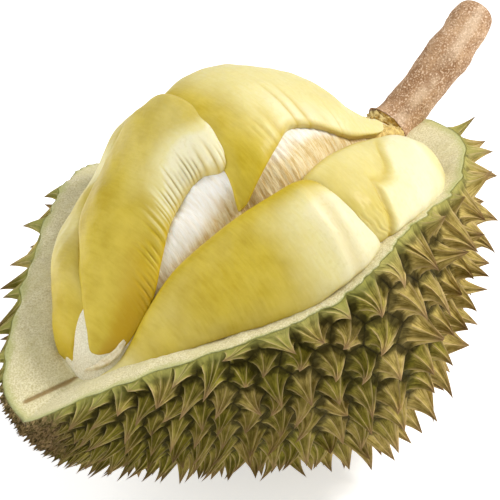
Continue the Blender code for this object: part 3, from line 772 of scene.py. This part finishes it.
def podPaintedLightAndCream(name, x, psi, low):
    # how creamy a segment is painted: 1 cream, 0 gold, -1 deep gold; partly the flesh's own tone, partly painted
    # highlight where it faces the light and painted shade where it turns away; low runs from -1 to 1 over it, down to
    # its foot
    if name == "podFrontLeft":
        return (0.1 + 1.05 * smooth(x, -30, 6) * smooth(low, -1.0, -0.3) + 0.12 * smooth(low, -1.0, -0.5)
                + 0.55 * smooth(-x, 76, 91))
    if name == "podFrontRight":
        return 0.4 + 0.15 * smooth(x, 0, 20) + 0.5 * frontLobe(x, psi)[0] - 0.3 * smooth(x, 74, 92)
    if name == "podBackLeft":
        return 0.06 + 1.35 * smooth(low, 0.0, 0.8) * smooth(x, -48, -16) + 0.25 * smooth(x, -60, -10)
    if name == "podBackRight":
        return (0.12 + 0.6 * smooth(x, -8, 20) + 0.25 * smooth(low, 0.1, 0.8) * smooth(x, 8, 24)
                - 0.25 * smooth(x, 40, 62) * smooth(low, 0.2, 0.9))
    return 0.46 + 0.12 * np.sin(x * 0.2) - 0.75 * smooth(-x, 72, 90)


def podDetail(name, x, psi, across, u):
    # swellings and folds of a segment in metres, its creaminess with painted highlight and shade, and how folded it
    # is from 0 to 1, which is painted as shade in the folds
    low = -across
    paintedLightAndCream = podPaintedLightAndCream(name, x, psi, low)
    wander = np.sin(17 * u + 1) + 0.6 * np.sin(41 * u)
    if name == "podBackLeft":
        # fine pleats along the foot, and a thin seam near the end
        pleat = np.abs(np.sin(165 * u + 2.2 * wander))
        edge = smooth(low, 0.5 - 0.14 * np.sin(83 * u + wander), 0.9)
        edge = edge * smooth(u, 0.26, 0.4) * smooth(1 - u, 0.04, 0.14)
        # painted highlight: the pleats' ridges are painted creamier
        paintedLightAndCream = paintedLightAndCream + 0.8 * edge * smooth(pleat, 0.3, 0.9) * smooth(x, -66, -34)
        # painted shade: deep gold over the lower part towards the blossom end
        paintedLightAndCream = paintedLightAndCream - 1.1 * smooth(low, -0.3, 1.0) * smooth(-x, 35, 80)
        seam = u - 0.962 - 0.01 * np.sin(5 * across)
        height = 0.0016 * edge * (pleat - 0.6) + 0.0007 * bell(seam, 0, 0.0065) - 0.001 * bell(seam, 0.014, 0.008)
        fold = edge * (1 - pleat) ** 1.5 + 0.7 * bell(seam, 0.015, 0.01)
    elif name == "podBackRight":
        # a few broad pleats over the pith
        pleat = np.abs(np.sin(62 * u + 2.0 * wander))
        edge = smooth(low, 0.05 - 0.3 * np.sin(31 * u), 0.95) * smooth(u, 0.26, 0.36) * smooth(1 - u, 0.34, 0.46)
        height = 0.0013 * edge * (pleat - 0.7)
        fold = edge * (1 - pleat) ** 2
    elif name == "podFrontRight":
        # the lobe and its crease, with wrinkles before it
        lobe, line = frontLobe(x, psi)
        wrinkled = smooth(x, 4, 10) * (1 - lobe) * smooth(-psi, -40, -33) * smooth(-x, -40, -28)
        wrinkled = wrinkled * (0.6 + 0.4 * np.sin(0.9 * psi + 0.7 * x))
        bent = x + 0.45 * (psi - 30) + 0.8 * np.sin(0.45 * psi) + 0.5 * np.sin(1.3 * psi + 1)
        height = 0.0024 * lobe - 0.0016 * line
        height = height + 0.00036 * wrinkled * np.sin(2.3 * bent) + 0.0002 * wrinkled * np.sin(5.1 * bent + psi)
        fold = 0.6 * line + 0.35 * wrinkled * smooth(-np.sin(2.3 * bent), 0.2, 1.0)
    elif name == "podSide":
        pleat = np.abs(np.sin(38 * u + 2 * wander))
        edge = smooth(1 - u, 0.6, 0.9)
        height = 0.0012 * edge * (pleat - 0.6)
        fold = edge * (1 - pleat) ** 2 * 0.8
    else:
        # one low ridge and a dip beside it
        arc = x + 3 - 0.25 * (psi - 40)
        height = 0.0006 * bell(arc, 0, 2.2) - 0.0006 * bell(arc, 5, 3.0)
        fold = 0.35 * bell(arc, 5, 3.5)
    return height, np.clip(paintedLightAndCream, -1, 1.2), np.clip(fold, 0, 1)


def buildPod(name, form):
    # a rounded box section between its two edges, the crown above the line and the root below it
    u = eased(flesh["rows"])
    s = catmull(form["stations"], u)[:, :, None]
    v = fullTurn(flesh["sides"])
    across, rise = (np.sign(wave) * np.abs(wave) ** flesh["boxiness"] for wave in (np.cos(v), np.sin(v)))
    half = 0.5 * (1 - across)
    x, psi, lift = (s[:, k] * half + s[:, k + 3] * (1 - half) for k in range(3))
    across = across + 0 * x
    blunt = np.sqrt(np.clip(1 - np.abs(2 * u - 1) ** flesh["bluntPower"], 0, 1))[:, None]
    height = np.where(rise > 0, s[:, 6], form["root"] * blunt) * rise
    swell, paintedLightAndCream, fold = podDetail(name, x, psi, across, u[:, None])
    lift = 0.001 * (lift + height) + swell * np.clip(rise, 0, 1) ** 0.5 * blunt
    c = chamberPlace(0.001 * x)
    points = chamber(c, psi, lift)
    soft = sum(size * ripple(points, length, form["seed"] + more) for size, length, more in flesh["soft"])
    points = chamber(c, psi, lift + soft * blunt)
    # edge and fold are painted as shade, and the creaminess as highlight and shade
    marks = {"edge": np.abs(across), "paintedLightAndCream": paintedLightAndCream + 0 * x, "fold": fold + 0 * x}
    material = bpy.data.materials.get("durianFlesh") or fleshMaterial()
    makePiece(name, points, form["nodes"], marks, material)


def fleshMaterial():
    coords = startMaterial("durianFlesh", {
        "Specular IOR Level": 0.22, "Subsurface Weight": 0.2, "Subsurface Radius": (1.0, 0.75, 0.18),
        "Subsurface Scale": 0.004, "Coat Weight": 0.06, "Coat Roughness": 0.32})
    edge, paintedLightAndCream, fold = coords.marks("edge", "paintedLightAndCream", "fold")
    strand = coords.noise((900.0, 120.0, 120.0), 3.0, 0.5)
    shade = coords.noise((80.0, 50.0, 50.0), 5.0, 0.6)
    cloud = coords.noise(28.0, 3.0, 0.5)
    skin = coords.noise(420.0, 2.0, 0.5)
    gold = (strand * 0.25 + shade * 0.75).step(0.3, 0.7).mix(*flesh["gold"])
    cream = strand.step(0.2, 0.8).mix(*flesh["cream"])
    # cream over gold: partly the flesh's own tone, partly painted highlight
    body = (paintedLightAndCream + (cloud - 0.5) * 0.7).step(0.05, 0.9).mix(gold, cream)
    # painted shade: deep gold where the segment is least creamy, with some of the flesh's own deeper tone
    body = ((cloud - 0.5) * 0.3 - paintedLightAndCream).step(0.0, 0.9).mix(body, flesh["deepGoldShade"])
    body = painted(body, flesh, {
        # painted highlight: ivory where the segment is creamiest
        "ivoryHighlight": ((paintedLightAndCream + (cloud - 0.5) * 0.5).step(0.8, 1.15), 0.6),
        "freckle": ((skin + strand - 1.0).step(0.02, 0.3), 0.14),
        # painted shade along the segments' sides and in their folds
        "edge": (edge.step(0.88, 1.0), 0.5), "fold": (fold, 0.75)})
    return finish(body, cloud * 0.15 + 0.38, strand * 0.3 + skin * 0.35, 0.0005)


# white pith: a surface inside the hollow, raised as a pad between the segments

pith = {
    "rows": 320, "sides": 200, "endGap": 0.0003,
    "sink": 0.0022, "deep": 0.0125,  # depth under the hollow's wall, at the cuts and inside
    "padRise": 0.0105, "padWidth": 14.0,  # the pad's height, and its half width in degrees
    "padAngle": 69.0, "padTurn": 8.0, "padShelf": 0.85,  # its psi, how it turns, and how high it stays behind
    "drop": 0.0135,  # fall behind the ridge, whose psi goes with mm along
    "ridgeAt": (20, 50, 60, 75, 95), "ridgePsi": (112, 98, 76, 58, 52),
    "strands": (0.12, 2.0, 21, 14), "strandHeight": 0.00035,  # psi's share, wavelength, seed, waves
    "lumps": (0.9, 16.0, 22, 9), "lumpHeight": 0.0007,
    "tatters": (1.3, 5.0, 23, 9), "tatterHeight": 0.0012,
    "deepestTan": 0.0088,  # the tan stays this light behind the ridge
    "leastRoom": 0.0016, "blossomRoom": 0.13, "stalkRoom": 0.45,  # most depth, as shares of the hollow's radius
    "capBulge": 0.0012, "capRings": (0.0, 0.45, 0.8),
    "white": ((0.83, 0.77, 0.64), (0.9, 0.88, 0.82)),
    "tan": ((0.62, 0.43, 0.165), (0.8, 0.69, 0.43)),
    "rindCream": ((0.6, 0.54, 0.35), (0.8, 0.75, 0.57)),
    "ochre": ((0.38, 0.21, 0.035), (0.82, 0.62, 0.23)),
}


def buildPith():
    start = math.acos(chamberPlace(fruit["blossomBlock"] + pith["endGap"] - fruit["halfLength"]))
    stop = math.acos(chamberPlace(fruit["halfLength"] - fruit["stalkBlock"] - pith["sink"]))
    c = np.cos(np.linspace(start, stop, pith["rows"]))[:, None]
    psi = np.linspace(0, 360, pith["sides"], endpoint=False)[None, :]
    x = place(c, 100.0)  # percent of half the fruit's length
    mm = 1000 * fruit["halfLength"] * x / 100

    def fibres(share, wavelength, seed, waves):
        return ripple(np.stack(np.broadcast_arrays(x, share * psi), -1), wavelength, seed, waves)

    inside = np.minimum(psi - rimAngle(fruit["frontRim"], c), rimAngle(fruit["backRim"], c) - psi)
    inside = smooth(inside, -1, 9)
    padAngle = pith["padAngle"] - pith["padTurn"] * smooth(x, -22, 12)
    shelf = pith["padShelf"] * smooth(psi, padAngle, padAngle + 8) * smooth(-psi, -100, -82)
    pad = np.maximum(bell(psi, padAngle, pith["padWidth"]), shelf)
    shallow = smooth(c, 0.7, 0.92)
    depth = pith["deep"] * (1 - 0.75 * shallow) - pith["padRise"] * pad * (1 - shallow)
    uneven = pith["strandHeight"] * fibres(*pith["strands"]) + pith["lumpHeight"] * fibres(*pith["lumps"])
    depth = pith["sink"] + inside * depth + inside * uneven
    behind = smooth(psi - np.interp(mm, pith["ridgeAt"], pith["ridgePsi"]), -4, 16)
    depth = depth + pith["drop"] * behind * smooth(mm, 20, 42) * smooth(-psi, -168, -140)
    stained = depth + smooth(-psi, -65, -53) * (0.002 + 0.007 * smooth(x, -12, 2))
    stained = np.where(psi > 100, np.minimum(stained, pith["deepestTan"]), stained)
    broken = smooth(x + 1.5 * np.sin(psi * 0.35), 60, 64) * smooth(psi, 36, 44) * smooth(-psi, -88, -76)
    depth = depth + pith["tatterHeight"] * broken * fibres(*pith["tatters"])
    room = lengths(chamber(c, psi) - chamber(c, psi, -1.0)) / fruit["innermost"]
    room = pith["leastRoom"] + np.where(c > 0, pith["blossomRoom"], pith["stalkRoom"]) * room
    depth = np.minimum(depth, room) * (1 - 0.95 * smooth(c, 0.8, 0.97))
    depth = depth + 0.003 * smooth(psi, 98, 106) * smooth(-psi, -150, -135)
    points = chamber(c + 0 * psi, psi + 0 * c, -depth)

    # rounded caps over both ends
    caps = []
    for row, outward in ((points[0], -1.0), (points[-1], 1.0)):
        middle = row.mean(0)
        for share in pith["capRings"]:
            bulge = np.array([outward * pith["capBulge"] * (1 - share * share), 0, 0])
            caps.append(middle + (row - middle) * share + bulge)
    rings = len(pith["capRings"])
    points = np.concatenate([np.stack(caps[:rings]), points, np.stack(caps[rings:][::-1])])
    marks = {"depth": stained, "broken": broken + 0 * depth, "blending": smooth(c, 0.84, 0.95) + 0 * depth}
    marks = {key: np.concatenate([np.repeat(a[:1], rings, 0), a, np.repeat(a[-1:], rings, 0)])
             for key, a in marks.items()}
    makePiece("pith", points, ("core",), marks, pithMaterial())


def pithMaterial():
    coords = startMaterial("pith", {
        "Specular IOR Level": 0.2, "Subsurface Weight": 0.2, "Subsurface Radius": (0.8, 0.6, 0.4),
        "Subsurface Scale": 0.003})
    depth, broken, blending = coords.marks("depth", "broken", "blending")
    strand = coords.noise((900.0, 130.0, 130.0), 5.0, 0.7)
    cloud = coords.noise(60.0, 3.0, 0.5)
    torn = coords.noise(330.0, 4.0, 0.65)
    white = strand.step(0.3, 0.65).mix(*pith["white"])
    tan = strand.step(0.35, 0.62).mix(*pith["tan"])
    body = (depth + (cloud - 0.5) * 0.007).step(0.0058, 0.0115).mix(white, tan)
    rindCream = coords.noise(1300.0, 2.0, 0.6).step(0.3, 0.72).mix(*pith["rindCream"])
    body = (blending * 0.9).mix(body, rindCream)
    ochre = (torn * 0.6 + strand * 0.4).step(0.34, 0.62).mix(*pith["ochre"])
    body = (broken + (torn - 0.5) * 0.6).step(0.3, 0.6).mix(body, ochre)
    return finish(body, strand * 0.1 + 0.7, strand + broken * torn * 1.8, 0.0006)


# the torn fold where the wall between two rooms ended: each station is a place in mm, psi, and the lift and
# the half width in mm

fold = {
    "sides": 20, "rows": 60, "flatness": 0.7, "endStart": 0.02,
    "stations": (
        (-94, 62, -0.2, 0.3), (-93, 52, 0.4, 1.1), (-91, 46, 1.0, 1.5), (-88, 44, 1.4, 1.6), (-84, 45, 1.0, 1.5),
        (-80, 48, -0.4, 1.3), (-75, 50, -2.6, 0.8)),
    "marks": {"depth": 0.0096, "broken": 0.0, "blending": 0.6},
}


def buildFold():
    # a flattened tube along a line on the pith, wavering by sines of the angle and the place
    u = np.linspace(0, 1, fold["rows"])[:, None]
    s = catmull(fold["stations"], u[:, 0])
    spine = chamber(chamberPlace(0.001 * s[:, 0]), s[:, 1], 0.001 * s[:, 2])
    along = unit(np.gradient(spine, axis=0))
    side = unit(np.cross(along, np.array(fruit["openSide"])))
    up = np.cross(side, along)
    turn = fullTurn(fold["sides"])
    half = 0.001 * s[:, 3:4] * np.sin(math.pi * (fold["endStart"] + (1 - 2 * fold["endStart"]) * u)) ** 0.5
    half = np.where((u == 0) | (u == 1), 0.0, half)
    wobble = 1 + 0.25 * np.sin(3 * turn + 9 * u) + 0.12 * np.sin(7 * turn - 31 * u)
    around = side[:, None] * np.cos(turn)[..., None] + fold["flatness"] * up[:, None] * np.sin(turn)[..., None]
    points = spine[:, None] + (half * wobble)[..., None] * around
    marks = {key: np.full(points.shape[:2], value) for key, value in fold["marks"].items()}
    makePiece("septumFold", points, (), marks, bpy.data.materials["pith"])


# stalk

stem = {
    "radius": 0.0107, "length": 0.067, "angle": 43.0,  # the angle is degrees above the floor
    "rows": 220, "sides": 96, "endPower": 14,
    "foot": 0.015, "footDrop": 0.0022,  # how far it runs into the fruit, and down
    "shift": (-0.0088, 0.0078, 0.0), "footSpread": (-0.004, 0.0036, 0.0),
    "knuckles": ((0.3, 0.09, 0.26), (0.72, 0.07, 0.07)),  # swellings: share along, half width, size
    "thinner": 0.97, "furrows": ((0.025, 2.0, 31), (0.008, 0.4, 32)),
    "tornAt": (0.2, 0.27), "tornDepth": 0.0008, "torn": 0.0011,  # the torn foot and its shreds
    "shreds": ((1.0, 0.55, 33), (0.5, 0.2, 34)),
    "tornSide": (-0.89, -0.1, 0.2), "tornRise": 0.12,  # where the torn foot reaches higher, and how much
    "highlightSide": (-0.27, -0.7, 0.66), "highlightFrom": 0.92,  # the painted highlight, a pale streak along one side of it
    "bark": ((0.31, 0.165, 0.075), (0.545, 0.345, 0.195)), "dots": (0.8, 0.6, 0.43),
    "pits": (0.17, 0.09, 0.045), "paleHighlight": (0.82, 0.66, 0.49),
    "ochre": ((0.42, 0.24, 0.035), (0.9, 0.74, 0.33)), "rim": (0.14, 0.07, 0.025),
}


def buildStalk():
    # a tube along a bent line: radius = (1 + knuckles) (1 - |2u - 1|^power)^(1/2), with furrows round it
    foot = egg(-1.0, 0.0, fruit["halfLength"], 0.0, 1.0) + stem["shift"]
    lean = math.radians(stem["angle"] - fruit["tilt"])
    out = stem["length"] * np.array([math.cos(lean), 0.0, math.sin(lean)])
    inward = np.array([stem["foot"], 0.0, 0.0])
    spread, drop = np.array(stem["footSpread"]), np.array([0.0, 0.0, stem["footDrop"]])
    knots = [foot - inward + spread - 2 * drop, foot - inward * 0.5 + spread - drop, foot + spread,
             foot + 0.35 * out + 0.3 * spread, foot + 0.7 * out, foot + out]
    u = eased(stem["rows"])
    spine = catmull(knots, u)
    along = unit(np.gradient(spine, axis=0))
    side = np.array([0.0, 1.0, 0.0])
    up = np.cross(along, side)
    ends = np.sqrt(np.clip(1 - np.abs(2 * u - 1) ** stem["endPower"], 0, 1))
    swelling = sum(size * bell(u, at, half) for at, half, size in stem["knuckles"])
    radius = (stem["radius"] * (1 + swelling) * ends)[:, None]
    turn = fullTurn(stem["sides"])
    ringPoint = np.stack(np.broadcast_arrays(u[:, None] * 12, np.cos(turn), np.sin(turn)), -1)
    furrows = sum(size * ripple(ringPoint, length, seed) for size, length, seed in stem["furrows"])
    shreds = [size * ripple(ringPoint, length, seed) for size, length, seed in stem["shreds"]]
    radius = radius * (stem["thinner"] + furrows)
    around = side * np.cos(turn)[..., None] + up[:, None] * np.sin(turn)[..., None]
    tear = u[:, None] - stem["tornRise"] * np.clip(around @ np.array(stem["tornSide"]), 0, 1)
    atFoot = 1 - smooth(tear, *stem["tornAt"])
    uneven = stem["tornDepth"] - stem["torn"] * (np.abs(shreds[0]) + shreds[1])
    radius = radius - uneven * atFoot * ends[:, None]
    points = spine[:, None] + radius[..., None] * around
    # the side that the painted highlight runs along
    marks = {"along": tear, "paleHighlight": smooth(around @ np.array(stem["highlightSide"]), stem["highlightFrom"], 1.0)}
    makePiece("stalkBark", points, ("stalk",), marks, barkMaterial())


def barkMaterial():
    coords = startMaterial("bark", {"Specular IOR Level": 0.25})
    along, paleHighlight = coords.marks("along", "paleHighlight")
    dots = coords.noise(1100.0, 2.0, 0.6)
    cloud = coords.noise(90.0, 4.0, 0.6)
    torn = coords.noise(260.0, 4.0, 0.65)
    # the pale streak is a painted highlight along the stalk's upper front side
    body = painted(cloud.step(0.32, 0.68).mix(*stem["bark"]), stem, {
        "dots": (dots.step(0.52, 0.66), 0.85), "pits": ((1 - dots).step(0.58, 0.7), 0.7),
        "paleHighlight": (paleHighlight * cloud.step(0.25, 0.6), 0.4)})
    height = along + (torn - 0.5) * 0.1
    foot = 1 - height.step(0.215, 0.25)
    body = foot.mix(body, torn.step(0.38, 0.62).mix(*stem["ochre"]))
    rimLine = (1 - abs((height - 0.245) * 28.0)).step(0.0, 1.0)
    body = (rimLine * 0.8).mix(body, stem["rim"])
    return finish(body, dots * 0.15 + 0.6, dots * 0.5 + cloud * 0.5 + foot * torn * 1.4, 0.0008)


# camera, lights and floor: places of lights are right, up and back from the fruit's middle

studio = {
    "azimuth": 41.6, "elevation": 34.0, "distance": 0.92, "lens": 144.0, "aimRight": 0.0093, "aimUp": -0.0008,
    "clip": (0.01, 50.0), "sensor": 36.0,
    "key": {"at": (0.75, 0.75, 0.55), "size": 0.36, "power": 12.3, "colour": (1.0, 0.98, 0.95)},
    "fill": {"at": (-0.9, 0.3, 0.5), "size": 1.0, "power": 6.2, "colour": (0.97, 0.98, 1.0)},
    "world": 0.43,
    "floorHalf": 6, "floorDrop": 0.0005, "floorGrey": 0.93, "floorRough": 0.9, "floorGlow": 0.55,
}


def placed(name, data, location=(0, 0, 0), turn=(1, 0, 0, 0)):
    made = bpy.data.objects.new(name, data)
    bpy.context.scene.collection.objects.link(made)
    made.location, made.rotation_mode, made.rotation_quaternion = location, "QUATERNION", turn
    return made


def buildStudio():
    a, e = math.radians(studio["azimuth"]), math.radians(studio["elevation"])
    right = Vector((math.cos(a), -math.sin(a), 0))
    up = Vector((math.sin(e) * math.sin(a), math.sin(e) * math.cos(a), math.cos(e)))
    back = right.cross(up)
    middle = Vector(fruit["middle"])
    eye = middle + right * studio["aimRight"] + up * studio["aimUp"] + back * studio["distance"]
    turn = Matrix((right, up, back)).transposed().to_quaternion()
    camera = placed("camera", bpy.data.cameras.new("camera"), eye, turn)
    camera.data.lens, camera.data.sensor_width = studio["lens"], studio["sensor"]
    camera.data.clip_start, camera.data.clip_end = studio["clip"]
    bpy.context.scene.camera = camera
    for name in ("key", "fill"):
        form = studio[name]
        at = middle + right * form["at"][0] + up * form["at"][1] + back * form["at"][2]
        light = placed(name, bpy.data.lights.new(name, "AREA"), at, (at - middle).to_track_quat("Z", "Y"))
        light.data.size, light.data.energy, light.data.color = form["size"], form["power"], form["colour"]
    world = bpy.data.worlds.new("studio")
    world.use_nodes = True
    white = (1.0, 1.0, 1.0, 1.0)
    setInputs(world.node_tree.nodes["Background"], {"Color": white, "Strength": studio["world"]})
    bpy.context.scene.world = world
    h, z = studio["floorHalf"], -studio["floorDrop"]
    mesh = bpy.data.meshes.new("floor")
    mesh.from_pydata([(-h, -h, z), (h, -h, z), (h, h, z), (-h, h, z)], [], [(0, 1, 2, 3)])
    floor = placed("floor", mesh)
    material = bpy.data.materials.new("floor")
    material.use_nodes = True
    grey = (*[studio["floorGrey"]] * 3, 1.0)
    setInputs(material.node_tree.nodes["Principled BSDF"], {
        "Base Color": grey, "Roughness": studio["floorRough"], "Emission Color": white,
        "Emission Strength": studio["floorGlow"]})
    floor.data.materials.append(material)
    bpy.context.scene.view_settings.view_transform = "Standard"
    print("camera, two lights and floor")


buildStudio()
buildRindFlesh(buildSkin())
for podName, podForm in pods.items():
    buildPod(podName, podForm)
buildPith()
buildFold()
buildStalk()
